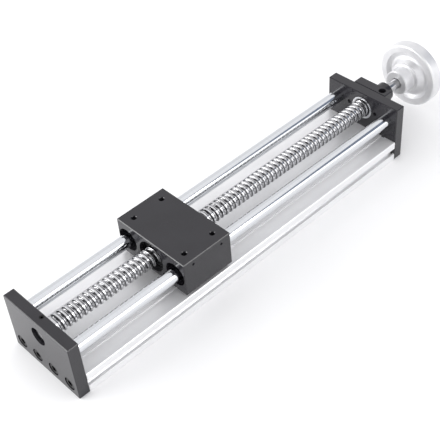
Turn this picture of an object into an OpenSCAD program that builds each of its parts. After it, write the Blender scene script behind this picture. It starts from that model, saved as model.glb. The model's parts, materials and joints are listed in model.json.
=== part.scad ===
// Ball screw linear module with two guide rods and a handwheel.
// X runs across the module, Y along the screw towards the handwheel, Z up.
// The origin is the middle of the base profile's underside.

/* [Module] */
// Width of the base profile, the end plates and the carriage
module_w = 80; // [74:1:88]
// Length of the base profile, which is the gap between the end plates
profile_len = 360; // [200:5:900]
// Width of the bevel along the edges of plates, block and carriage
edge_bevel = 0.6; // [0.2:0.1:1]

/* [Base profile] */
// Height of the base profile
base_h = 20; // [18:0.5:24]
// Width of a T-slot's mouth
slot_mouth = 6.2; // [5:0.1:8]
// Thickness of the lips beside a T-slot's mouth
slot_lip = 1.8; // [1.2:0.1:2.2]
// Width of a T-slot behind its lips
slot_inner = 11.5; // [10:0.1:12]
// Wall between a T-slot's floor and the screw core behind it
core_wall = 0.88; // [0.6:0.01:1.5]
// Width of a T-slot's floor
slot_floor = 5.4; // [4:0.1:6]
// Distance of each top groove from the side of the profile
groove_edge = 14; // [10:0.5:16]
// Width of a top groove
groove_w = 3.6; // [2:0.1:5]
// Depth of a top groove
groove_depth = 1; // [0.5:0.1:1.2]
// Thickness of the profile's outer walls round its hollow chambers
profile_wall = 2; // [1.8:0.1:2.5]
// Wall between a T-slot and a hollow chamber
chamber_wall = 1.25; // [1:0.05:1.5]

/* [End plates] */
// Thickness of each end plate
plate_t = 10; // [9:0.5:16]
// Height of the end plates above the screw axis
plate_above = 16; // [14:0.5:20]
// Depth of the blind seats that hold the guide rods
rod_seat = 6; // [4:0.5:8]
// Diameter of the opening in front of the tail bearing
tail_opening_d = 16; // [15:0.5:18]
// Diameter of the base screws' threads
base_screw_d = 6; // [5:0.5:6]
// Diameter of the base screws' heads
base_head_d = 10; // [8:0.5:10.5]
// Depth of the counterbores for the base screws' heads
base_sink = 6.5; // [4:0.5:7]
// Length of the base screws' shanks
base_screw_len = 18; // [12:1:30]

/* [Bearing block] */
// Width of the bearing block
block_w = 36; // [34:1:44]
// Thickness of the bearing block along the screw
block_t = 10; // [8:0.5:16]
// Depth of the bearing block below the screw axis
block_below = 16; // [13:0.5:19]
// Distance between the two block screws
block_screw_gap = 30; // [28:0.5:30]
// Diameter of the block screws' threads
block_screw_d = 3; // [2.5:0.5:3]
// Diameter of the blind hole in the block's top
block_hole_d = 7; // [4:0.5:7.5]
// Distance of that hole from the middle of the block
block_hole_x = 11; // [9:0.5:13]
// Depth of that hole
block_hole_depth = 5; // [3:0.5:5]

/* [Ball screw] */
// Outer diameter of the screw's thread
screw_d = 16; // [14:0.5:16]
// Lead of the thread for each turn
lead = 5; // [4:0.5:6]
// Diameter at the bottom of the ball groove
groove_root_d = 13; // [11.5:0.5:13]
// Width of the ball groove at the thread's outer diameter
groove_mouth = 3.4; // [3.3:0.1:3.6]
// Width of the ball groove at its bottom
groove_bottom = 2.2; // [2:0.1:2.4]
// Plain length left between each end of the thread and the groove
thread_end = 1; // [0.5:0.1:3]
// Diameter of the plain journals at both ends
journal_d = 10; // [8:0.5:10]

/* [Guide rods] */
// Diameter of the guide rods
rod_d = 12; // [10:0.5:12]

/* [Bearings] */
// Outer diameter of the ball bearings
bearing_d = 22; // [20:0.5:23]
// Width of the ball bearings
bearing_b = 6; // [5:0.5:6.5]
// Diameter of the bearing balls
bearing_ball_d = 3; // [2.5:0.1:3.2]
// Number of balls in each bearing
bearing_balls_n = 9; // [7:1:10]

/* [Carriage] */
// Length of the carriage along the screw
carriage_len = 50; // [46:1:80]
// Gap between the base profile and the carriage
carriage_gap = 3.5; // [1:0.1:8]
// Wall over and under the ring grooves beside the ball nut
nut_cover = 1.5; // [1:0.1:4]
// Wall between the ball nut and each linear bushing
nut_web = 4; // [3:0.1:5]
// Wall between a linear bushing and the carriage's side
side_wall = 1; // [0.8:0.1:2]
// Place of the carriage along the module, from the middle of the profile
carriage_y = -53; // [-60:0.5:60]
// Distance of the holes in the carriage's top from its sides
top_hole_edge = 10; // [6:0.5:14]
// Distance along the module between the holes in the carriage's top
top_hole_y = 30; // [20:1:36]
// Diameter of the threaded holes in the carriage's top
top_hole_d = 4.2; // [3:0.1:5]
// Metal left between a hole in the carriage's top and the bushing under it
top_hole_floor = 0.8; // [0.5:0.1:2]
// Diameter of the small threaded holes in the carriage's sides
side_hole_d = 2.5; // [2:0.1:3]
// Distance of the side holes below the carriage's top
side_hole_drop = 5; // [4:0.1:5.5]
// Depth of the side holes
side_hole_depth = 6; // [3:0.5:6]

/* [Linear bushings] */
// Length of the linear bushings
bushing_len = 30; // [24:1:36]
// Share of a bushing's radial thickness that its steel sleeve takes
sleeve_share = 0.36; // [0.3:0.01:0.38]
// Share of a bushing's radial thickness that its balls take
ball_share = 0.44; // [0.38:0.01:0.46]
// Number of balls in each loaded track
track_balls_n = 8; // [4:1:9]

/* [Ball nut] */
// Outer diameter of the ball nut
nut_d = 28; // [26:0.5:28]
// Length of the ball nut
nut_len = 40; // [34:1:42]
// Diameter of the balls in the nut
nut_ball_d = 3; // [2.5:0.1:3.1]
// Number of balls in the nut
nut_balls_n = 36; // [12:1:40]
// Thickness of the wiper rings at the nut's ends
wiper_t = 3; // [2:0.5:4]

/* [Collar and handwheel] */
// Outer diameter of the lock collar
collar_d = 18; // [16:0.5:20]
// Length of the lock collar
collar_len = 14; // [10:0.5:20]
// Length of bare shaft between the lock collar and the handwheel
shaft_gap = 15; // [5:0.5:30]
// Outer diameter of the handwheel
wheel_d = 63; // [56:0.5:76]
// Length of the handwheel along the shaft
wheel_len = 28; // [26:0.5:34]
// Width of the handwheel's rim along the shaft
rim_len = 12; // [10:0.5:14]
// Diameter of the handwheel's hub
hub_d = 24; // [20:0.5:26]
// Depth of the ring-shaped hollows on both faces of the handwheel
dish_depth = 4; // [1:0.1:4.2]

/* [Fits] */
// Radial clearance where one piece is seated in another
seat_fit = 0.02; // [0.01:0.01:0.05]
// Radial clearance between the bushings' balls or seals and the rods
rod_fit = 0.06; // [0.03:0.01:0.1]
// Clearance between a thread and the hole it is screwed into
thread_fit = 0.02; // [0.01:0.01:0.05]
// Clearance of a rolling bearing's balls in the outer ring's groove
ball_fit = 0.1; // [0.05:0.01:0.15]
// Gap between parts that turn or slide past each other
running_gap = 0.4; // [0.3:0.05:0.6]

/* [Hidden] */

$fn = 64;
// Sides of the thread's polygon in one turn
thread_sides = 16;
// Small overlap that joins the journals to the thread, and lets cuts pass through a face
join = 1;
profile_end = profile_len / 2;
core_z = base_h / 2;
core_r = base_screw_d / 2 + thread_fit;
// The profile is four equal cells wide, each with a screw core in its middle
slot_pitch = module_w / 4;
cell_x = [-1.5 * slot_pitch, -0.5 * slot_pitch, 0.5 * slot_pitch, 1.5 * slot_pitch];
slot_depth = min(slot_pitch / 2, core_z) - core_r - core_wall;
groove_x = module_w / 2 - groove_edge;

// Ball nut and the height of the screw and rod axes above the underside
nut_r = nut_d / 2;
nut_snap_t = 1.2;
nut_snap_depth = 1;
carriage_above = nut_r + nut_snap_depth + nut_cover;
carriage_below = carriage_above;
axis_z = base_h + carriage_gap + carriage_below;
plate_h = axis_z + plate_above;

// Linear bushings fill the width that the nut and the walls leave
bushing_d = (module_w - nut_d) / 2 - nut_web - side_wall;
bushing_r = bushing_d / 2;
rod_spacing = module_w - bushing_d - 2 * side_wall;
bushing_section = bushing_r - rod_d / 2;
bushing_ball_d = ball_share * bushing_section;
bushing_ball_gap = 0.1;
bushing_ball_step = bushing_ball_d + bushing_ball_gap;
bushing_seal_t = 1.5;
cage_r = bushing_r - sleeve_share * bushing_section;
track_angles = [for (i = [0:4]) 90 + i * 72];
top_hole_x = module_w - 2 * top_hole_edge;
top_hole_depth = carriage_above - bushing_r - top_hole_floor;
seat_r = bearing_d / 2 + seat_fit;

// Bearing sections, worked out from the bore, the outside and the balls
pitch_r = (journal_d + bearing_d) / 4;
race_groove_r = bearing_ball_d / 2 + ball_fit;
race_depth = 0.35;
inner_ring_r = pitch_r - bearing_ball_d / 2 + race_depth;
outer_ring_r = pitch_r + bearing_ball_d / 2 - race_depth;
bearing_seal_t = 0.5;
bearing_seal_inset = 0.25;
bearing_seal_r = outer_ring_r + 0.3;
// Height of the three bearings' first faces along the screw, from its tail face
tail_bearing_at = -profile_end - bearing_b;
drive_bearing_at = profile_end;
block_bearing_at = profile_end + plate_t;
bearing_places = [tail_bearing_at, drive_bearing_at, block_bearing_at];
// Hole through the wall behind each drive-side bearing
lip_r = pitch_r;

// Retaining ring on the tail journal
snap_t = 1;
snap_fit = 0.05;
snap_wall = 2;
snap_neck = 0.4;
snap_gap = 3;
tail_journal_len = bearing_b + snap_t + 2 * snap_fit + snap_neck * 2;

// Shaft stations towards the handwheel
block_back = profile_end + plate_t + block_t;
collar_gap = 1;
collar_at = block_back + collar_gap;
// The collar's nose bears on the inner ring alone
collar_nose_r = inner_ring_r - 0.15;
// Diameter of the collar's and the handwheel's set screws
grip_screw_d = 5;
hub_at = collar_at + collar_len + shaft_gap;
wheel_r = wheel_d / 2;
wheel_bevel = 2;
shaft_inset = 0.5;
shaft_end = hub_at + wheel_len - shaft_inset;
rim_at = wheel_len - rim_len;
hub_screw_at = 5.5;
hub_lip = 2.5;
rim_lip = 7;
dish_in_r = hub_d / 2 + hub_lip;
dish_out_r = wheel_r - rim_lip;
dish_steps = 12;

// Sections of the ball nut
nut_land_gap = 0.5;
nut_land_r = screw_d / 2 + nut_land_gap;
nut_groove_gap = 2.3;
nut_groove_r = screw_d / 2 + nut_groove_gap;
nut_groove_mouth = groove_mouth + 0.2;
nut_groove_bottom = groove_bottom + 0.4;
// Radius of the circle on which the nut's ball centres lie
ball_root_gap = 0.25;
nut_ball_circle_r = groove_root_d / 2 + nut_ball_d / 2 + ball_root_gap;
nut_ball_angle = 30;
wiper_seat = 2.5;
wiper_r = nut_r - wiper_seat;
wiper_fit = 0.2;
nut_snap_slot = nut_snap_t + 2 * snap_fit;
nut_snap_gap = 8;
// Return caps: their radius, their places along the nut and the turns they sit at
cap_r = 3;
cap_step = 1.5 * lead;
cap_turns = [90, 210, 330];
// Set screw that locks the nut from below, and the depth of its seat in the nut
nut_screw_d = 4;
nut_screw_len = 3;
nut_screw_seat = 1;

// Set screw that holds the tail bearing from above, just below the plate's top
tail_screw_d = 4;
tail_screw_inset = 0.2;
tail_screw_len = plate_above - seat_r - tail_screw_inset;

// Clearances round screws that pass through, and the room round their heads
base_screw_room = 0.6;
base_head_room = 1.5;
block_screw_room = 0.4;
// Metal left between the ends of the block screws and the drive plate's inner face
block_screw_short = 4;
thread_bevel = 0.5;
// Gap at each end of a guide rod in its blind seat
rod_end_gap = 0.05;

function ring_points(r, z, count) =
    [for (i = [0:count - 1]) [r * cos(360 * i / count), r * sin(360 * i / count), z]];

// A round bar along +Z with one helical groove of trapezoid section cut round it.
// The groove starts at angle 0 and height thread_end, and rises by one lead each turn.
module helical_bar(land_r, root_r, mouth, bottom, length, sides) {
    steps = floor((length - 2 * thread_end - mouth) * sides / lead);
    wall = (mouth - bottom) / 2;
    heights = [0, wall, mouth - wall, mouth];
    radii = [land_r, root_r, root_r, land_r];
    helix = [
        for (i = [0:steps])
            for (k = [0:3])
                [
                    radii[k] * cos(360 * i / sides),
                    radii[k] * sin(360 * i / sides),
                    thread_end + lead * i / sides + heights[k]
                ]
    ];
    bottom_at = len(helix);
    top_at = bottom_at + sides;
    points = concat(
        helix,
        ring_points(land_r, 0, sides),
        [
            for (i = [0:sides - 1])
                [
                    land_r * cos(360 * (steps + i) / sides),
                    land_r * sin(360 * (steps + i) / sides),
                    length
                ]
        ]
    );
    // Index of helix point k at step i
    function at(i, k) = 4 * i + k;
    last = steps - sides;
    walls = [
        for (i = [0:steps - 1])
            for (k = [0, 2])
                for (half = [0, 1])
                    half == 0
                        ? [at(i, k), at(i + 1, k + 1), at(i + 1, k)]
                        : [at(i, k), at(i, k + 1), at(i + 1, k + 1)]
    ];
    floors = [for (i = [0:steps - 1]) [at(i, 1), at(i, 2), at(i + 1, 2), at(i + 1, 1)]];
    lands = [for (i = [0:last - 1]) [at(i, 3), at(i + sides, 0), at(i + sides + 1, 0), at(i + 1, 3)]];
    first_band = [
        for (i = [0:sides - 2])
            [bottom_at + i, at(i, 0), at(i + 1, 0), bottom_at + i + 1]
    ];
    first_seam = [
        bottom_at + sides - 1, at(sides - 1, 0), at(sides, 0), at(0, 3), at(0, 0), bottom_at
    ];
    last_band = [
        for (i = [1:sides - 1])
            [at(last + i, 3), top_at + i, top_at + (i + 1) % sides, at(last + i + 1, 3)]
    ];
    last_seam = [
        at(last + 1, 3), at(last, 3), at(steps, 0), at(steps, 3), top_at, top_at + 1
    ];
    stops = [
        [at(0, 0), at(0, 3), at(0, 2), at(0, 1)],
        [at(steps, 0), at(steps, 1), at(steps, 2), at(steps, 3)]
    ];
    caps = [
        [for (i = [0:sides - 1]) bottom_at + i],
        [for (i = [0:sides - 1]) top_at + sides - 1 - i]
    ];
    polyhedron(
        points = points,
        faces = concat(
            walls, floors, lands, first_band, [first_seam], last_band, [last_seam], stops, caps
        ),
        convexity = 10
    );
}

// Puts a shape drawn along +Z onto the screw axis, or a line beside it, at height y
module on_axis(y, x = 0) {
    translate([x, y, axis_z]) rotate([-90, 0, 0]) children();
}

// A solid of revolution about +Z from (radius, height) points
module turned(points) {
    rotate_extrude() polygon(points);
}

module tube(outer_r, inner_r, length) {
    turned([[inner_r, 0], [outer_r, 0], [outer_r, length], [inner_r, length]]);
}

// A box with bevelled edges, centred in X and Y, standing on z = 0
module bevelled_box(x, y, z, bevel) {
    intersection() {
        linear_extrude(z) bevelled_rectangle(x, y, bevel);
        translate([0, y / 2, z / 2]) rotate([90, 0, 0]) linear_extrude(y)
            bevelled_rectangle(x, z, bevel);
        translate([-x / 2, 0, z / 2]) rotate([90, 0, 90]) linear_extrude(x)
            bevelled_rectangle(y, z, bevel);
    }
}

module bevelled_rectangle(x, y, bevel) {
    polygon([
        [-x / 2 + bevel, -y / 2], [x / 2 - bevel, -y / 2],
        [x / 2, -y / 2 + bevel], [x / 2, y / 2 - bevel],
        [x / 2 - bevel, y / 2], [-x / 2 + bevel, y / 2],
        [-x / 2, y / 2 - bevel], [-x / 2, -y / 2 + bevel]
    ]);
}

// A socket head cap screw along +Z: its head's underside is at z = 0, its shank below
module cap_screw(thread_d, head_d, length) {
    head_h = thread_d;
    head_bevel = 0.3;
    // Across the socket's corners
    socket_d = thread_d * 0.95;
    difference() {
        union() {
            turned([
                [0, 0], [head_d / 2, 0], [head_d / 2, head_h - head_bevel],
                [head_d / 2 - head_bevel, head_h], [0, head_h]
            ]);
            translate([0, 0, -length]) cylinder(d = thread_d, h = length + head_h / 4);
        }
        translate([0, 0, head_h / 2]) cylinder(d = socket_d, h = head_h, $fn = 6);
    }
}

// A headless set screw along +Z from z = 0
module set_screw(thread_d, length) {
    difference() {
        cylinder(d = thread_d, h = length);
        translate([0, 0, length / 2]) cylinder(d = thread_d * 0.55, h = length, $fn = 6);
    }
}

// A set screw that grips the shaft from below at height y along the screw
module grip_screw(y, length) {
    translate([0, y, axis_z - journal_d / 2 - seat_fit]) mirror([0, 0, 1])
        set_screw(grip_screw_d, length);
}

// Outline of one T-slot: its mouth lies on y = 0 and it goes towards +Y
module slot_outline() {
    // Straight part of the slot's sides behind the lips
    shoulder = 0.9;
    polygon([
        [-slot_mouth / 2, -join], [slot_mouth / 2, -join],
        [slot_mouth / 2, slot_lip], [slot_inner / 2, slot_lip],
        [slot_inner / 2, slot_lip + shoulder], [slot_floor / 2, slot_depth],
        [-slot_floor / 2, slot_depth], [-slot_inner / 2, slot_lip + shoulder],
        [-slot_inner / 2, slot_lip], [-slot_mouth / 2, slot_lip]
    ]);
}

module base_profile() {
    chamber_w = slot_pitch - slot_inner - 2 * chamber_wall;
    roof_chamber_w = 9;
    roof_wall = 1.5;
    roof_chamber_z = core_z + core_r + roof_wall;
    color("gainsboro")
    translate([0, profile_end, 0]) rotate([90, 0, 0]) linear_extrude(profile_len)
    difference() {
        translate([0, base_h / 2]) bevelled_rectangle(module_w, base_h, edge_bevel);
        for (x = cell_x) {
            translate([x, 0]) slot_outline();
            translate([x, core_z]) circle(core_r);
            translate([x - roof_chamber_w / 2, roof_chamber_z])
                square([roof_chamber_w, base_h - profile_wall - roof_chamber_z]);
        }
        for (x = [-slot_pitch, 0, slot_pitch])
            translate([x - chamber_w / 2, profile_wall])
                square([chamber_w, base_h - 2 * profile_wall]);
        for (side = [-1, 1]) {
            translate([side * module_w / 2, core_z]) rotate(side * 90) slot_outline();
            translate([side * groove_x - groove_w / 2, base_h - groove_depth])
                square([groove_w, groove_depth + join]);
        }
    }
}

// An end plate as the two ends share it, with its inner face on y = 0 and its body towards +Y
module end_plate_blank() {
    difference() {
        translate([0, plate_t / 2, 0]) bevelled_box(module_w, plate_t, plate_h, edge_bevel);
        for (x = cell_x) {
            translate([x, -join, core_z]) rotate([-90, 0, 0])
                cylinder(d = base_screw_d + base_screw_room, h = plate_t + 2 * join);
            translate([x, plate_t - base_sink, core_z]) rotate([-90, 0, 0])
                cylinder(d = base_head_d + base_head_room, h = base_sink + join);
        }
        for (side = [-1, 1])
            translate([side * rod_spacing / 2, -join, axis_z]) rotate([-90, 0, 0])
                cylinder(r = rod_d / 2 + seat_fit, h = rod_seat + join);
        translate([0, -join, axis_z]) rotate([-90, 0, 0])
            cylinder(r = seat_r, h = bearing_b + join);
    }
}

module tail_plate() {
    color("dimgray")
    difference() {
        translate([0, -profile_end, 0]) mirror([0, 1, 0]) end_plate_blank();
        on_axis(-profile_end - plate_t - join) cylinder(d = tail_opening_d, h = plate_t);
        translate([0, -profile_end - bearing_b / 2, axis_z])
            cylinder(r = tail_screw_d / 2 + thread_fit, h = plate_above + join);
    }
}

module drive_plate() {
    color("dimgray")
    difference() {
        translate([0, profile_end, 0]) end_plate_blank();
        on_axis(profile_end) cylinder(r = lip_r, h = plate_t + join);
        for (side = [-1, 1]) on_axis(profile_end, side * block_screw_gap / 2) {
            translate([0, 0, -join])
                cylinder(r = block_screw_d / 2 + thread_fit, h = plate_t + 2 * join);
            turned([
                [0, 0], [block_screw_d / 2 + thread_bevel, 0], [0, block_screw_d / 2 + thread_bevel]
            ]);
        }
    }
}

module bearing_block() {
    color("dimgray")
    difference() {
        translate([0, profile_end + plate_t + block_t / 2, axis_z - block_below])
            bevelled_box(block_w, block_t, block_below + plate_above, edge_bevel);
        on_axis(block_bearing_at - join) cylinder(r = seat_r, h = bearing_b + join);
        on_axis(block_bearing_at) cylinder(r = lip_r, h = block_t + join);
        for (side = [-1, 1])
            on_axis(profile_end + plate_t - join, side * block_screw_gap / 2)
                cylinder(d = block_screw_d + block_screw_room, h = block_t + 2 * join);
        translate([block_hole_x, profile_end + plate_t + block_t / 2, plate_h - block_hole_depth])
            cylinder(d = block_hole_d, h = block_hole_depth + join);
    }
}

module guide_rod(side) {
    bevel = 0.5;
    length = profile_len + 2 * (rod_seat - rod_end_gap);
    color("silver")
    on_axis(-length / 2, side * rod_spacing / 2)
        turned([
            [0, 0], [rod_d / 2 - bevel, 0], [rod_d / 2, bevel],
            [rod_d / 2, length - bevel], [rod_d / 2 - bevel, length], [0, length]
        ]);
}

// Four screws through an end plate into the profile; end is -1 at the tail and 1 at the drive
module base_screws(end) {
    color("black")
    for (x = cell_x)
        translate([x, end * (profile_end + plate_t - base_sink), core_z]) rotate([-90 * end, 0, 0])
            cap_screw(base_screw_d, base_head_d, base_screw_len);
}

module block_screws() {
    color("black")
    for (side = [-1, 1])
        on_axis(block_back, side * block_screw_gap / 2)
            cap_screw(block_screw_d, block_screw_d * 1.8, plate_t + block_t - block_screw_short);
}

module tail_bearing_lock_screw() {
    color("black")
    translate([0, -profile_end - bearing_b / 2, axis_z + seat_r])
        set_screw(tail_screw_d, tail_screw_len);
}

module outer_ring(y) {
    color("silver")
    on_axis(y)
    difference() {
        tube(bearing_d / 2, outer_ring_r, bearing_b);
        translate([0, 0, bearing_b / 2]) race_groove();
        for (z = [bearing_seal_inset - seat_fit, bearing_b - bearing_seal_inset - bearing_seal_t - seat_fit])
            translate([0, 0, z])
                cylinder(r = bearing_seal_r + seat_fit, h = bearing_seal_t + 2 * seat_fit);
    }
}

// The ring of space in which a bearing's balls roll
module race_groove() {
    rotate_extrude() translate([pitch_r, 0]) circle(race_groove_r, $fn = 32);
}

module inner_ring(y) {
    color("silver")
    on_axis(y)
    difference() {
        tube(inner_ring_r, journal_d / 2 + seat_fit, bearing_b);
        translate([0, 0, bearing_b / 2]) race_groove();
    }
}

module bearing_seals() {
    color("black")
    for (y = bearing_places)
        for (z = [bearing_seal_inset, bearing_b - bearing_seal_inset - bearing_seal_t])
            on_axis(y + z) tube(bearing_seal_r, inner_ring_r + running_gap / 2, bearing_seal_t);
}

module bearing_spacer() {
    color("silver")
    on_axis(drive_bearing_at + bearing_b)
        tube(inner_ring_r, journal_d / 2 + seat_fit, plate_t - bearing_b);
}

// Two rings beside the balls, joined by a bar in each space between balls
module bearing_cages() {
    half_w = 0.55;
    ring_t = 0.4;
    gap = 0.1;
    ball_room = bearing_ball_d / 2 + gap;
    bar_w = 1.6;
    bar_h = 2 * (half_w - gap);
    color("tan")
    for (y = bearing_places)
        on_axis(y + bearing_b / 2) {
            for (z = [-ball_room - ring_t, ball_room])
                translate([0, 0, z]) tube(pitch_r + half_w, pitch_r - half_w, ring_t);
            for (i = [0:bearing_balls_n - 1])
                rotate(360 * (i + 0.5) / bearing_balls_n)
                    translate([pitch_r - bar_h / 2, -bar_w / 2, -ball_room - ring_t / 2])
                    cube([bar_h, bar_w, 2 * ball_room + ring_t]);
        }
}

module bearing_ball_set(r) {
    for (i = [0:bearing_balls_n - 1])
        rotate(360 * i / bearing_balls_n) translate([pitch_r, 0, 0]) sphere(r, $fn = 32);
}

module bearing_balls() {
    color("silver")
    for (y = bearing_places) on_axis(y + bearing_b / 2) bearing_ball_set(bearing_ball_d / 2);
}

module ball_screw() {
    r = journal_d / 2;
    neck_r = r - snap_neck;
    snap_top = -bearing_b - snap_fit;
    snap_low = snap_top - snap_t - snap_fit;
    end_bevel = 0.5;
    shaft_len = shaft_end + profile_end;
    color("silver")
    on_axis(-profile_end)
    union() {
        helical_bar(
            screw_d / 2, groove_root_d / 2, groove_mouth, groove_bottom, profile_len, thread_sides
        );
        turned([
            [0, -tail_journal_len], [neck_r, -tail_journal_len],
            [r, -tail_journal_len + snap_neck], [r, snap_low],
            [neck_r, snap_low], [neck_r, snap_top], [r, snap_top], [r, join], [0, join]
        ]);
        turned([
            [0, profile_len - join], [r, profile_len - join],
            [r, shaft_len - end_bevel], [r - end_bevel, shaft_len], [0, shaft_len]
        ]);
    }
}

// A snap ring with a gap, along +Z from z = 0
module snap_ring(outer_r, inner_r, thickness, gap) {
    difference() {
        tube(outer_r, inner_r, thickness);
        translate([0, -gap / 2, -join]) cube([outer_r + join, gap, thickness + 2 * join]);
    }
}

module tail_retaining_ring() {
    neck_r = journal_d / 2 - snap_neck;
    color("dimgray")
    on_axis(-profile_end - bearing_b - snap_fit - snap_t)
        snap_ring(neck_r + snap_wall, neck_r + seat_fit, snap_t, snap_gap);
}

module lock_collar() {
    nose_at = block_bearing_at + bearing_b;
    bevel = 0.8;
    r = collar_d / 2;
    bore_r = journal_d / 2 + seat_fit;
    flange_at = collar_at - nose_at;
    end_at = flange_at + collar_len;
    color("dimgray")
    on_axis(nose_at)
    difference() {
        turned([
            [bore_r, 0], [collar_nose_r, 0], [collar_nose_r, flange_at],
            [r - bevel, flange_at], [r, flange_at + bevel], [r, end_at - bevel],
            [r - bevel, end_at], [bore_r, end_at]
        ]);
        translate([0, 0, flange_at + collar_len / 2]) rotate([-90, 0, 0])
            cylinder(r = grip_screw_d / 2 + thread_fit, h = r + join);
    }
}

module collar_set_screw() {
    length = collar_d / 2 - journal_d / 2 - 0.5;
    color("black")
    grip_screw(collar_at + collar_len / 2, length);
}

// Points of a dished hollow between two radii, from its inner to its outer edge
function dish(inner_z, outer_z, depth, count) =
    [
        for (i = [0:count])
            [
                dish_in_r + (dish_out_r - dish_in_r) * i / count,
                inner_z + (outer_z - inner_z) * i / count + depth * sin(180 * i / count)
            ]
    ];
function reversed(list) = [for (i = [len(list) - 1:-1:0]) list[i]];

module handwheel() {
    bore_r = journal_d / 2 + seat_fit;
    hub_r = hub_d / 2;
    hub_bevel = 0.8;
    bore_bevel = 0.5;
    // The hub's shoulder starts web_step before the rim, and the dish web_start before it
    web_step = 4;
    web_start = 2;
    step_at = rim_at - web_step;
    round_steps = 4;
    color("silver")
    on_axis(hub_at)
    difference() {
        turned(concat(
            [
                [bore_r + bore_bevel, 0], [hub_r - hub_bevel, 0], [hub_r, hub_bevel],
                [hub_r, step_at], [dish_in_r, step_at + 0.5]
            ],
            dish(rim_at - web_start, rim_at, dish_depth, dish_steps),
            [
                for (i = [0:round_steps])
                    [
                        wheel_r - wheel_bevel + wheel_bevel * sin(90 * i / round_steps),
                        rim_at + wheel_bevel - wheel_bevel * cos(90 * i / round_steps)
                    ]
            ],
            [
                for (i = [0:round_steps])
                    [
                        wheel_r - wheel_bevel + wheel_bevel * cos(90 * i / round_steps),
                        wheel_len - wheel_bevel + wheel_bevel * sin(90 * i / round_steps)
                    ]
            ],
            reversed(dish(wheel_len, wheel_len, -dish_depth, dish_steps)),
            [
                [bore_r + bore_bevel, wheel_len], [bore_r, wheel_len - bore_bevel],
                [bore_r, bore_bevel]
            ]
        ));
        translate([0, 0, hub_screw_at]) rotate([-90, 0, 0])
            cylinder(r = grip_screw_d / 2 + thread_fit, h = hub_r + join);
    }
}

module handwheel_set_screw() {
    length = hub_d / 2 - journal_d / 2 - 1;
    color("black")
    grip_screw(hub_at + hub_screw_at, length);
}

module carriage_block() {
    height = carriage_above + carriage_below;
    snap_r = nut_r + nut_snap_depth;
    mouth_bevel = 0.5;
    color("dimgray")
    difference() {
        translate([0, carriage_y, axis_z - carriage_below])
            bevelled_box(module_w, carriage_len, height, edge_bevel);
        for (side = [-1, 1])
            on_axis(carriage_y - carriage_len / 2 - join, side * rod_spacing / 2)
                cylinder(r = bushing_r + seat_fit, h = carriage_len + 2 * join);
        on_axis(carriage_y - carriage_len / 2 - join)
            cylinder(r = nut_r + seat_fit, h = carriage_len + 2 * join);
        for (end = [-1, 1])
            on_axis(carriage_y + end * (nut_len + nut_snap_slot) / 2 - nut_snap_slot / 2)
                cylinder(r = snap_r, h = nut_snap_slot);
        for (x = [-1, 1], y = [-1, 1])
            translate([
                x * top_hole_x / 2, carriage_y + y * top_hole_y / 2,
                axis_z + carriage_above - top_hole_depth
            ]) {
                cylinder(d = top_hole_d, h = top_hole_depth + join);
                translate([0, 0, top_hole_depth - mouth_bevel])
                    cylinder(d1 = top_hole_d, d2 = top_hole_d + 4 * mouth_bevel, h = 2 * mouth_bevel);
            }
        for (side = [-1, 1], y = [-1, 1])
            translate([
                side * module_w / 2, carriage_y + y * top_hole_y / 2,
                axis_z + carriage_above - side_hole_drop
            ])
                rotate([0, -90 * side, 0]) translate([0, 0, -join])
                    cylinder(d = side_hole_d, h = side_hole_depth + join);
        translate([0, carriage_y, axis_z - carriage_below - join])
            cylinder(r = nut_screw_d / 2 + thread_fit, h = carriage_below);
    }
}

module bushing_sleeve(side) {
    color("silver")
    on_axis(carriage_y - bushing_len / 2, side * rod_spacing / 2)
        tube(bushing_r, cage_r + seat_fit, bushing_len);
}

module bushing_cage(side) {
    end_gap = 0.05;
    track_len = (track_balls_n + 0.5) * bushing_ball_step;
    length = bushing_len - 2 * (bushing_seal_t + end_gap);
    track_w = bushing_ball_d + 2 * bushing_ball_gap;
    color("dimgray")
    on_axis(carriage_y - length / 2, side * rod_spacing / 2)
    difference() {
        tube(cage_r, rod_d / 2 + running_gap, length);
        for (a = track_angles)
            rotate(a) translate([rod_d / 2, -track_w / 2, (length - track_len) / 2])
                cube([bushing_ball_d + 0.3, track_w, track_len]);
    }
}

module bushing_balls(side) {
    color("silver")
    on_axis(carriage_y - (track_balls_n - 1) * bushing_ball_step / 2, side * rod_spacing / 2)
        for (a = track_angles)
            for (i = [0:track_balls_n - 1])
                rotate(a)
                    translate([rod_d / 2 + rod_fit + bushing_ball_d / 2, 0, i * bushing_ball_step])
                    sphere(d = bushing_ball_d, $fn = 24);
}

module bushing_seals(side) {
    color("black")
    for (end = [-1, 1])
        on_axis(
            carriage_y + end * (bushing_len - bushing_seal_t) / 2 - bushing_seal_t / 2,
            side * rod_spacing / 2
        )
            tube(cage_r, rod_d / 2 + rod_fit, bushing_seal_t);
}

// Angle that brings a helical bar which starts at height y into step with the screw's groove
function groove_turn(y, mouth) = 360 * (y + profile_end + (mouth - groove_mouth) / 2) / lead;

module ball_nut() {
    // How far the tap runs past each end of the nut
    over = 2;
    tap_len = nut_len + 2 * over;
    tap_y = carriage_y - tap_len / 2;
    color("darkgray")
    on_axis(carriage_y - nut_len / 2)
    difference() {
        cylinder(r = nut_r, h = nut_len);
        translate([0, 0, -over]) rotate(groove_turn(tap_y, nut_groove_mouth))
            helical_bar(
                nut_land_r, nut_groove_r, nut_groove_mouth, nut_groove_bottom,
                tap_len, thread_sides
            );
        for (z = [-join, nut_len - wiper_t])
            translate([0, 0, z]) cylinder(r = wiper_r + seat_fit, h = wiper_t + join);
        for (i = [0:2])
            translate([0, 0, nut_len / 2 + (i - 1) * cap_step]) rotate([90, 0, cap_turns[i]])
                cylinder(r = cap_r + seat_fit, h = nut_r + join);
        translate([0, 0, nut_len / 2]) rotate([-90, 0, 0]) translate([0, 0, nut_r - nut_screw_seat])
            cylinder(r = nut_screw_d / 2 + thread_fit, h = nut_screw_seat + join);
    }
}

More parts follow.
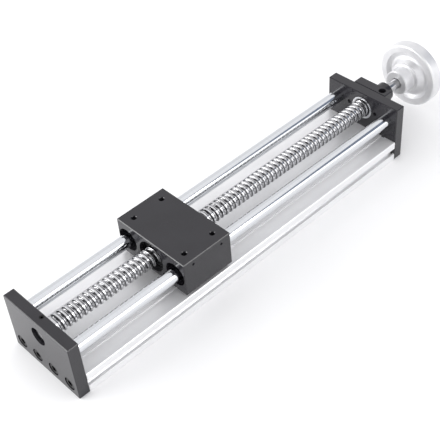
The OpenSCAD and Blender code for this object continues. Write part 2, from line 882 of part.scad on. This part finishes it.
module nut_balls() {
    middle = 360 * (carriage_y + profile_end - thread_end - groove_mouth / 2) / lead;
    color("silver")
    on_axis(-profile_end)
        for (i = [0:nut_balls_n - 1]) {
            angle = middle + (i - (nut_balls_n - 1) / 2) * nut_ball_angle;
            rotate(angle)
                translate([nut_ball_circle_r, 0, thread_end + groove_mouth / 2 + lead * angle / 360])
                sphere(d = nut_ball_d, $fn = 24);
        }
}

module nut_return_caps() {
    gap = 0.1;
    inset = 0.8;
    color("tan")
    on_axis(carriage_y)
        for (i = [0:2])
            translate([0, 0, (i - 1) * cap_step]) rotate([90, 0, cap_turns[i]])
                translate([0, 0, nut_groove_r + gap])
                cylinder(r = cap_r, h = nut_r - nut_groove_r - gap - inset);
}

module nut_wipers() {
    color("black")
    for (end = [-1, 1])
        on_axis(carriage_y + end * (nut_len - wiper_t) / 2 - wiper_t / 2)
            tube(wiper_r, screw_d / 2 + wiper_fit, wiper_t);
}

module nut_retaining_rings() {
    color("dimgray")
    for (end = [-1, 1])
        on_axis(carriage_y + end * (nut_len + nut_snap_slot) / 2 - nut_snap_t / 2)
            snap_ring(
                nut_r + nut_snap_depth - seat_fit, nut_r - snap_wall, nut_snap_t, nut_snap_gap
            );
}

module nut_lock_screw() {
    color("black")
    translate([0, carriage_y, axis_z - nut_r + nut_screw_seat - 0.1]) mirror([0, 0, 1])
        set_screw(nut_screw_d, nut_screw_len);
}

base_profile();
tail_plate();
drive_plate();
bearing_block();
guide_rod(-1);  // guide_rod_left
guide_rod(1);  // guide_rod_right
base_screws(-1);  // tail_base_screws
base_screws(1);  // drive_base_screws
block_screws();
tail_bearing_lock_screw();
outer_ring(tail_bearing_at);  // tail_bearing_outer_ring
outer_ring(drive_bearing_at);  // drive_bearing_outer_ring
outer_ring(block_bearing_at);  // block_bearing_outer_ring
bearing_seals();
ball_screw();
inner_ring(tail_bearing_at);  // tail_bearing_inner_ring
inner_ring(drive_bearing_at);  // drive_bearing_inner_ring
inner_ring(block_bearing_at);  // block_bearing_inner_ring
bearing_spacer();
bearing_cages();
bearing_balls();
tail_retaining_ring();
lock_collar();
collar_set_screw();
handwheel();
handwheel_set_screw();
carriage_block();
bushing_sleeve(-1);  // bushing_sleeve_left
bushing_sleeve(1);  // bushing_sleeve_right
bushing_cage(-1);  // bushing_cage_left
bushing_cage(1);  // bushing_cage_right
bushing_balls(-1);  // bushing_balls_left
bushing_balls(1);  // bushing_balls_right
bushing_seals(-1);  // bushing_seals_left
bushing_seals(1);  // bushing_seals_right
ball_nut();
nut_balls();
nut_return_caps();
nut_wipers();
nut_retaining_rings();
nut_lock_screw();
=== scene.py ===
"""Looks of a ball screw linear module: finishes, the finely cut screw thread, light and camera."""
import json
import math

import bmesh
import bpy
from mathutils import Matrix, Vector


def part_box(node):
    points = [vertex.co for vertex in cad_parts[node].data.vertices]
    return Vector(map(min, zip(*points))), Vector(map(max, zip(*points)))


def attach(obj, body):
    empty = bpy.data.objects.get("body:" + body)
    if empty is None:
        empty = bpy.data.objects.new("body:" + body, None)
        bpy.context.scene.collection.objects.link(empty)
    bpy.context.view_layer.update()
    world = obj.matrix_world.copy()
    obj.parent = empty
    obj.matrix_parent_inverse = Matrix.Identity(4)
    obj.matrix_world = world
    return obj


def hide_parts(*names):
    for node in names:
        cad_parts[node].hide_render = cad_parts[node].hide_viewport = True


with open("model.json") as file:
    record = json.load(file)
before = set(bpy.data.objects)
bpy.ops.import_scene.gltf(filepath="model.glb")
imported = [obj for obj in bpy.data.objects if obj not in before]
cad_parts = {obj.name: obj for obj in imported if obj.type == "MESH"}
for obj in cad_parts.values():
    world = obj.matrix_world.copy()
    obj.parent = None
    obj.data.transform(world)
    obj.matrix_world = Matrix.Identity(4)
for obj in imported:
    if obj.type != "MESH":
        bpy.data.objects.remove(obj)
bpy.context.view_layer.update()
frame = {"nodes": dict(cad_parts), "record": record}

MM = 0.001
NODES = frame["nodes"]

# The screw's axis lies at the height of the guide rods
AXIS_Z = sum(v.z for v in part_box("guide_rod_right")) / 2
LAND_R = 8 * MM
JOURNAL_R = 5 * MM
# Radius at which the flanks of the ball groove are darkest with painted shade
FLANK_R = 7.4 * MM
# Rise from there to an unshaded land, and drop from there to the groove's floor, where the painted shade is
# lightest
LAND_RISE = 0.4 * MM
FLOOR_DROP = 0.6 * MM
FLOOR_LIGHTNESS = 0.66


# ---------------------------------------------------------------- materials

def linear(hex_colour):
    """An sRGB hex colour as linear RGBA."""
    parts = [int(hex_colour[i:i + 2], 16) / 255 for i in (1, 3, 5)]
    return (*[c / 12.92 if c <= 0.04045 else ((c + 0.055) / 1.055) ** 2.4 for c in parts], 1)


def add_node(tree, kind, inputs=None, **settings):
    """Adds a node. Settings go on the node. Inputs go on its sockets, as values or as links."""
    node = tree.nodes.new(kind)
    for name, value in settings.items():
        setattr(node, name, value)
    for name, value in (inputs or {}).items():
        if isinstance(value, bpy.types.NodeSocket):
            tree.links.new(value, node.inputs[name])
        else:
            node.inputs[name].default_value = value
    return node


def blank_material(name):
    """A new material whose node tree is empty."""
    material = bpy.data.materials.new(name)
    material.use_nodes = True
    material.node_tree.nodes.clear()
    return material


# The noise lies mostly between these two values, which the grain spreads to 0 and 1
NOISE_LOW = 0.3
NOISE_HIGH = 0.7


def grain(material, size_mm, detail=2.0):
    """A pattern from 0 to 1 whose grains have that size along X, Y and Z, in millimetres."""
    tree = material.node_tree
    place = add_node(tree, "ShaderNodeTexCoord")
    scaled = add_node(tree, "ShaderNodeMapping", {
        "Vector": place.outputs["Object"], "Scale": [1 / (size * MM) for size in size_mm]})
    noise = add_node(tree, "ShaderNodeTexNoise", {
        "Vector": scaled.outputs["Vector"], "Scale": 1.0, "Detail": detail})
    spread = add_node(tree, "ShaderNodeMapRange", {
        "Value": noise.outputs["Fac"], "From Min": NOISE_LOW, "From Max": NOISE_HIGH})
    return spread.outputs["Result"]


def shaft_distance(material):
    """Distance of a point from the screw's axis, in metres."""
    tree = material.node_tree
    place = add_node(tree, "ShaderNodeTexCoord")
    from_axis = add_node(tree, "ShaderNodeVectorMath", {
        0: place.outputs["Object"], 1: (0, 0, AXIS_Z)}, operation="SUBTRACT")
    across = add_node(tree, "ShaderNodeVectorMath", {
        0: from_axis.outputs[0], 1: (1, 0, 1)}, operation="MULTIPLY")
    length = add_node(tree, "ShaderNodeVectorMath", {0: across.outputs[0]}, operation="LENGTH")
    return length.outputs["Value"]


def finish(material, tones, tone_pattern, gloss, gloss_pattern, relief_mm, **shader):
    """Completes a material. Its colour drifts between two tones with one pattern. Its roughness drifts
    between two values with another, which also raises the surface by up to relief_mm."""
    tree = material.node_tree
    colour = add_node(tree, "ShaderNodeMix", {
        0: tone_pattern, 6: linear(tones[0]), 7: linear(tones[1])}, data_type="RGBA")
    roughness = add_node(tree, "ShaderNodeMapRange", {
        "Value": gloss_pattern, "To Min": gloss[0], "To Max": gloss[1]})
    relief = add_node(tree, "ShaderNodeBump", {"Height": gloss_pattern, "Distance": relief_mm * MM})
    bsdf = add_node(tree, "ShaderNodeBsdfPrincipled", {
        "Base Color": colour.outputs[2], "Roughness": roughness.outputs["Result"],
        "Normal": relief.outputs["Normal"], **shader})
    add_node(tree, "ShaderNodeOutputMaterial", {"Surface": bsdf.outputs["BSDF"]})
    return material


def silver_anodised_profile():
    """Extruded aluminium, silver anodised: satin, near white, with faint die lines along its length."""
    material = blank_material("aluminium_extruded_silver_anodised")
    # die lines are about 0.2 mm apart on the real profile, drawn at 0.7 mm so that they show
    die_lines = grain(material, (0.7, 120, 0.7), detail=1.0)
    cloud = grain(material, (18, 60, 18))
    return finish(material, ("#ededee", "#f5f5f6"), cloud, (0.30, 0.36), die_lines, 0.0004, Metallic=0.4)


def black_anodised_plate():
    """Milled aluminium, black anodised: charcoal with a soft gloss that mirrors what is close to it."""
    material = blank_material("aluminium_milled_black_anodised")
    # bead blasting before anodising leaves pits of about 0.1 mm, drawn at 0.5 mm
    pits = grain(material, (0.5, 0.5, 0.5), detail=3.0)
    cloud = grain(material, (22, 22, 22))
    return finish(material, ("#232226", "#28272b"), cloud, (0.17, 0.26), pits, 0.002, IOR=1.5)


def chromed_rod():
    """Ground steel rod, hard chromed: a mirror with very fine grinding rings round it."""
    material = blank_material("steel_ground_hard_chromed")
    # grinding marks are microns wide, drawn at 0.5 mm
    rings = grain(material, (400, 0.5, 400))
    return finish(material, ("#d6d8db", "#dfe1e4"), rings, (0.08, 0.12), rings, 0.0002, Metallic=1.0)


def rolled_thread():
    """Rolled and polished steel: bright lands and journals, and a groove whose flanks are darkened with
    painted shade.
    """
    material = blank_material("steel_rolled_polished")
    tree = material.node_tree
    radius = shaft_distance(material)
    # painted shade: the colour is darkest on the groove's flanks, partly lighter on its floor and bright on
    # the lands
    land = add_node(tree, "ShaderNodeMapRange", {
        "Value": radius, "From Min": FLANK_R, "From Max": FLANK_R + LAND_RISE})
    groove_floor = add_node(tree, "ShaderNodeMapRange", {
        "Value": radius, "From Min": FLANK_R, "From Max": FLANK_R - FLOOR_DROP,
        "To Max": FLOOR_LIGHTNESS})
    unshaded = add_node(tree, "ShaderNodeMath", {
        0: land.outputs["Result"], 1: groove_floor.outputs["Result"]}, operation="MAXIMUM")
    streaks = grain(material, (12, 0.4, 12))
    return finish(material, ("#201f22", "#d4d4d6"), unshaded.outputs[0], (0.14, 0.22), streaks, 0.0005,
                  Metallic=1.0)


def ground_steel(name, tones, gloss):
    """Ground steel, as on bearing rings: smooth and grey with fine grinding marks round it."""
    material = blank_material(name)
    marks = grain(material, (3, 0.4, 3))
    return finish(material, tones, marks, gloss, marks, 0.0005, Metallic=1.0)


def turned_aluminium():
    """Bright turned aluminium: a pale satin metal with the tool's rings round the shaft."""
    material = blank_material("aluminium_turned_bright")
    tree = material.node_tree
    # the tool leaves a ring every 0.1 mm, drawn every 0.6 mm
    ring_step = 0.6 * MM
    turns = add_node(tree, "ShaderNodeMath", {
        0: shaft_distance(material), 1: 2 * math.pi / ring_step}, operation="MULTIPLY")
    wave = add_node(tree, "ShaderNodeMath", {0: turns.outputs[0]}, operation="SINE")
    rings = add_node(tree, "ShaderNodeMapRange", {"Value": wave.outputs[0], "From Min": -1.0})
    cloud = grain(material, (9, 9, 9))
    return finish(material, ("#dfdfe1", "#e7e7e8"), cloud, (0.34, 0.42), rings.outputs["Result"], 0.0005,
                  Metallic=0.55)


def black_oxide_steel():
    """Black oxide steel, as on cap and set screws: near black with a dull sheen and slight mottling."""
    material = blank_material("steel_black_oxide")
    mottle = grain(material, (0.8, 0.8, 0.8), detail=3.0)
    # the oxide is porous, so it reflects weakly
    return finish(material, ("#040405", "#09090a"), mottle, (0.28, 0.40), mottle, 0.001,
                  **{"Specular IOR Level": 0.3})


def moulded_polymer(name, tones, gloss):
    """Moulded nylon, acetal or rubber: an even colour with a slight grain."""
    material = blank_material(name)
    mottle = grain(material, (0.6, 0.6, 0.6), detail=3.0)
    return finish(material, tones, mottle, gloss, mottle, 0.004, IOR=1.5)


FINISHES = {
    "profile_silver": silver_anodised_profile(),
    "plate_black": black_anodised_plate(),
    "rod_chrome": chromed_rod(),
    "screw_chrome": rolled_thread(),
    "bearing_steel": ground_steel("steel_ground_bearing", ("#c9cacd", "#dddedf"), (0.15, 0.25)),
    "ball_chrome": ground_steel("steel_polished_ball", ("#d4d5d8", "#e0e1e3"), (0.04, 0.12)),
    "nut_steel": ground_steel("steel_hardened_nut", ("#77787b", "#8b8c8f"), (0.25, 0.38)),
    "spring_steel": ground_steel("steel_spring_blackened", ("#2a2a2c", "#3a3a3c"), (0.3, 0.42)),
    "screw_black": black_oxide_steel(),
    "wheel_aluminium": turned_aluminium(),
    "cage_plastic": moulded_polymer("nylon_moulded_grey", ("#3c3c40", "#4a4a4e"), (0.4, 0.55)),
    "cap_plastic": moulded_polymer("nylon_moulded_natural", ("#b9a983", "#c6b78f"), (0.4, 0.55)),
    "wiper_plastic": moulded_polymer("acetal_moulded_black", ("#0e0e0f", "#161617"), (0.3, 0.45)),
    "seal_rubber": moulded_polymer("rubber_moulded_seal", ("#08080a", "#0f0f11"), (0.5, 0.65)),
}

for part in frame["record"]["subparts"]:
    node = NODES[part["node"]]
    node.data.materials.clear()
    node.data.materials.append(FINISHES[part["material_slot"]])


# ---------------------------------------------------------------- the screw's thread

LEAD = 5 * MM
BALL_CIRCLE_R = 8.25 * MM
GROOVE_ARC_R = 1.75 * MM
# The groove's arc stops this far below the land, and a bevel of this width leads up to the land
BEVEL_DROP = 0.08 * MM
BEVEL_WIDTH = 0.10 * MM
# Plain land between each end of the thread and the groove, and about the width of the groove's mouth
GROOVE_STOP = 1 * MM
GROOVE_MOUTH = 3.4 * MM
# The groove ends after a whole number of sixteenths of a turn
STOPS_PER_TURN = 16
# Facets round the screw, facets along the groove's arc, and facets over which the groove runs out
SIDES = 48
ARC_STEPS = 10
RUN_OUT = 8
# The retaining ring's groove: its depth, and the ring's play in it on each side
RING_GROOVE_DEPTH = 0.4 * MM
RING_PLAY = 0.05 * MM
# Bevels at the ends of the two journals
TAIL_BEVEL = 0.4 * MM
TIP_BEVEL = 0.5 * MM
# Points closer than this are one point
SAME_POINT = 1e-4 * MM
# Edges that turn by more than this many degrees stay sharp
SHARP_TURN = 35


def smooth(t):
    """Eases from 0 to 1 as t does, with a level start and end."""
    t = min(max(t, 0), 1)
    return t * t * (3 - 2 * t)


def groove_profile():
    """One lead of the thread as (distance from the groove's middle, radius) points."""
    half = math.acos((BALL_CIRCLE_R - LAND_R + BEVEL_DROP) / GROOVE_ARC_R)
    points = []
    for k in range(ARC_STEPS + 1):
        turn = -half + 2 * half * k / ARC_STEPS
        points.append((GROOVE_ARC_R * math.sin(turn), BALL_CIRCLE_R - GROOVE_ARC_R * math.cos(turn)))
    edge = points[-1][0]
    bevel_end = edge + BEVEL_WIDTH
    start = [(-LEAD / 2, LAND_R), (-bevel_end, LAND_R)]
    end = [(bevel_end, LAND_R), (LEAD / 2, LAND_R)]
    return start + points + end


def screw_point(radius, facet, y):
    """A point on the screw at that radius, after that many facets round it from +X."""
    angle = 2 * math.pi * facet / SIDES
    return (radius * math.cos(angle), y, AXIS_Z - radius * math.sin(angle))


def threaded_screw(tail, ring_groove, start, end, tip):
    """The whole screw: a thread from start to end, and a plain journal at each end of it. The tail
    journal has a groove for its retaining ring."""
    profile = groove_profile()
    bm = bmesh.new()
    stops = math.floor((end - start - 2 * GROOVE_STOP - GROOVE_MOUTH) / LEAD * STOPS_PER_TURN)
    last = stops * SIDES // STOPS_PER_TURN
    rows = []
    for i in range(-2 * SIDES, last + 2 * SIDES + 1):
        middle = start + GROOVE_STOP + GROOVE_MOUTH / 2 + LEAD * i / SIDES
        depth = smooth(i / RUN_OUT) * smooth((last - i) / RUN_OUT)
        row = []
        for along, radius in profile:
            r = LAND_R + (radius - LAND_R) * depth
            y = min(max(middle + along, start), end)
            row.append(bm.verts.new(screw_point(r, i, y)))
        rows.append(row)
    for a, b in zip(rows, rows[1:]):
        for k in range(len(profile) - 1):
            bm.faces.new((a[k], a[k + 1], b[k + 1], b[k]))
    neck_r = JOURNAL_R - RING_GROOVE_DEPTH
    tail_journal = [
        (LAND_R, start), (JOURNAL_R, start), (JOURNAL_R, ring_groove[1]), (neck_r, ring_groove[1]),
        (neck_r, ring_groove[0]), (JOURNAL_R, ring_groove[0]), (JOURNAL_R, tail + TAIL_BEVEL),
        (JOURNAL_R - TAIL_BEVEL, tail)]
    drive_journal = [
        (LAND_R, end), (JOURNAL_R, end), (JOURNAL_R, tip - TIP_BEVEL), (JOURNAL_R - TIP_BEVEL, tip)]
    for stations in (tail_journal, drive_journal):
        rings = []
        for radius, y in stations:
            rings.append([bm.verts.new(screw_point(radius, i, y)) for i in range(SIDES)])
        for a, b in zip(rings, rings[1:]):
            for i in range(SIDES):
                j = (i + 1) % SIDES
                bm.faces.new((a[i], a[j], b[j], b[i]))
        bm.faces.new(rings[-1])
    bmesh.ops.remove_doubles(bm, verts=bm.verts, dist=SAME_POINT)
    bmesh.ops.dissolve_degenerate(bm, dist=SAME_POINT, edges=bm.edges)
    bmesh.ops.recalc_face_normals(bm, faces=bm.faces)
    mesh = bpy.data.meshes.new("screw_thread")
    bm.to_mesh(mesh)
    bm.free()
    piece = bpy.data.objects.new("screw_thread", mesh)
    bpy.context.scene.collection.objects.link(piece)
    for polygon in mesh.polygons:
        polygon.use_smooth = True
    mesh.set_sharp_from_angle(angle=math.radians(SHARP_TURN))
    mesh.materials.append(FINISHES["screw_chrome"])
    return piece


base_lo, base_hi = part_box("base_profile")
screw_lo, screw_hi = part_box("ball_screw")
ring_lo, ring_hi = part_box("tail_retaining_ring")
ring_groove = (ring_lo.y - RING_PLAY, ring_hi.y + RING_PLAY)
screw = threaded_screw(screw_lo.y, ring_groove, base_lo.y, base_hi.y, screw_hi.y)
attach(screw, "screw")
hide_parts("ball_screw")


# ---------------------------------------------------------------- floor, light and camera

def stage_card(name, shader, inputs, corners):
    """A flat studio card with the given corners and surface."""
    mesh = bpy.data.meshes.new(name)
    mesh.from_pydata(corners, [], [range(len(corners))])
    material = blank_material(name)
    surface = add_node(material.node_tree, shader, inputs)
    add_node(material.node_tree, "ShaderNodeOutputMaterial", {"Surface": surface.outputs[0]})
    mesh.materials.append(material)
    card = bpy.data.objects.new(name, mesh)
    bpy.context.scene.collection.objects.link(card)
    return card


def reflection_card(name, colour, corners, strength=1):
    """A card that shows in reflections alone, and there has that colour."""
    card = stage_card(name, "ShaderNodeEmission", {"Color": linear(colour), "Strength": strength}, corners)
    card.visible_camera = card.visible_shadow = card.visible_diffuse = False


def softbox(name, place, aim, size, radiance):
    """An area light whose surface has the given brightness. The camera doesn't see it."""
    data = bpy.data.lights.new(name, "AREA")
    data.shape = "RECTANGLE"
    data.size, data.size_y = size
    data.energy = radiance * math.pi * size[0] * size[1]
    light = bpy.data.objects.new(name, data)
    bpy.context.scene.collection.objects.link(light)
    light.location = place
    light.rotation_euler = (Vector(aim) - Vector(place)).to_track_quat("-Z", "Y").to_euler()
    light.visible_camera = False


# Half the floor's width. Places and sizes of the stage are in metres
FLOOR = 20
stage_card("studio_floor", "ShaderNodeBsdfDiffuse", {"Color": linear("#fbfbfb")}, [
    (-FLOOR, -FLOOR, 0), (FLOOR, -FLOOR, 0), (FLOOR, FLOOR, 0), (-FLOOR, FLOOR, 0)])
# a grey wedge high on the right draws the line that darkens along the rods
reflection_card("grey_wedge", "#8790a0", [(0.66, 0.4, 0.92), (1.08, 1.5, 0.45), (-0.1, 1.5, 1.15)])
# the dim room above the camera and beyond the wheel darkens the walls of the screw's groove
reflection_card("dim_room_front", "#46474b", [
    (-0.28, -1.32, 0.60), (0.70, -1.16, 0.60), (0.60, -0.56, 1.26), (-0.38, -0.72, 1.26)])
reflection_card("dim_ceiling", "#46474b", [
    (-0.38, -0.72, 1.26), (0.60, -0.56, 1.26), (0.60, 0.08, 1.30), (-0.38, 0.08, 1.30)])
reflection_card("dim_room_left", "#6a6b70", [
    (-0.35, -1.25, 0.80), (-0.38, -0.72, 1.26), (-1.15, -0.25, 1.26), (-1.2, -0.80, 0.80)])
reflection_card("dim_room_back", "#4a4b4f", [
    (-0.9, 1.7, 0), (0.6, 1.7, 0), (0.6, 1.7, 1.0), (-0.9, 1.7, 1.0)])
# two bright cards draw the light lines along the bevels that face the front and the right
reflection_card("bright_card_front", "#ffffff", [
    (-1.4, -0.6, 0.15), (-0.4, -1.7, 0.15), (-0.4, -1.7, 0.9), (-1.4, -0.6, 0.9)], strength=3)
reflection_card("bright_card_right", "#ffffff", [
    (0.98, 0.12, 0.64), (0.88, 0.62, 0.60), (0.76, 0.62, 0.82), (0.86, 0.12, 0.86)], strength=6)
# a weak light overhead, a soft one on the right and a strong one that fills in the front faces
softbox("overhead_softbox", (-0.05, 0.5, 1.35), (-0.05, 0.5, 0), (1.3, 1.8), 0.12)
softbox("right_softbox", (1.5, 0.7, 0.75), (0, 0.1, 0.05), (1.8, 1.2), 0.7)
softbox("front_softbox", (-0.9, -1.15, 0.5), (0, -0.2, 0), (1.5, 0.8), 5.0)

# a bright even room all round, which the metal mirrors
world = bpy.data.worlds.new("studio")
bpy.context.scene.world = world
world.use_nodes = True
world.node_tree.nodes.clear()
sky = add_node(world.node_tree, "ShaderNodeBackground", {"Color": linear("#f6f6f8"), "Strength": 1.04})
add_node(world.node_tree, "ShaderNodeOutputWorld", {"Surface": sky.outputs[0]})
bpy.context.scene.view_settings.view_transform = "Standard"

# the camera looks down the module from the tail end, rolled slightly about its line of sight
AZIMUTH = math.radians(49.39)
ELEVATION = math.radians(43.33)
ROLL = math.radians(-5.13)
CAMERA_PLACE = (0.4575, -0.3952, 0.5955)
SENSOR_WIDTH = 36
FOCAL_LENGTH = 80.69
back = Vector((math.sin(AZIMUTH) * math.cos(ELEVATION),
               -math.cos(AZIMUTH) * math.cos(ELEVATION), math.sin(ELEVATION)))
right = (-back).cross(Vector((0, 0, 1))).normalized()
up = right.cross(-back)
side = math.cos(ROLL) * right + math.sin(ROLL) * up
top = -math.sin(ROLL) * right + math.cos(ROLL) * up
camera_data = bpy.data.cameras.new("camera")
camera_data.sensor_width = SENSOR_WIDTH
camera_data.lens = FOCAL_LENGTH
camera_data.clip_start = 0.01
camera_data.clip_end = 60
camera = bpy.data.objects.new("camera", camera_data)
bpy.context.scene.collection.objects.link(camera)
camera.matrix_world = Matrix((side, top, back)).transposed().to_4x4()
camera.location = CAMERA_PLACE
bpy.context.scene.camera = camera
